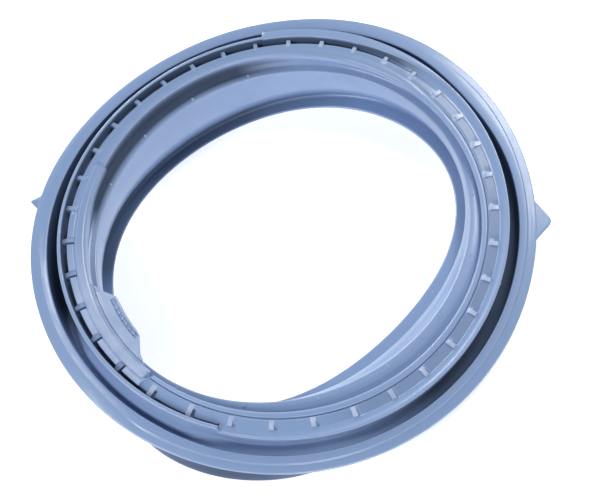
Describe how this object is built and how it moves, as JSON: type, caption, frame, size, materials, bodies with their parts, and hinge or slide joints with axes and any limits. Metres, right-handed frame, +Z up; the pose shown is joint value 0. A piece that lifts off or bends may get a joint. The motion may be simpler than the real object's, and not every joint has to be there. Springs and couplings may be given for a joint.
{
  "type": "door seal",
  "caption": "Soft rubber door seal for a front loading washing machine, with an outer flange, a ribbed clamping channel, a bellows, a drain pocket and a sealing lip.",
  "frame": {"origin": "centre of the bounding box, on the plane that the sealing lip rests on", "axes": "+Z up, away from the face that the lip rests on; +X towards the large tab, along the longest extent; the bellows is deepest towards -X and +Y"},
  "size_m": [0.418, 0.4018, 0.0884],
  "materials": {
    "seal_rubber": "satin"
  },
  "bodies": {
    "root": {"door_seal": "seal_rubber"}
  },
  "joints": []
}
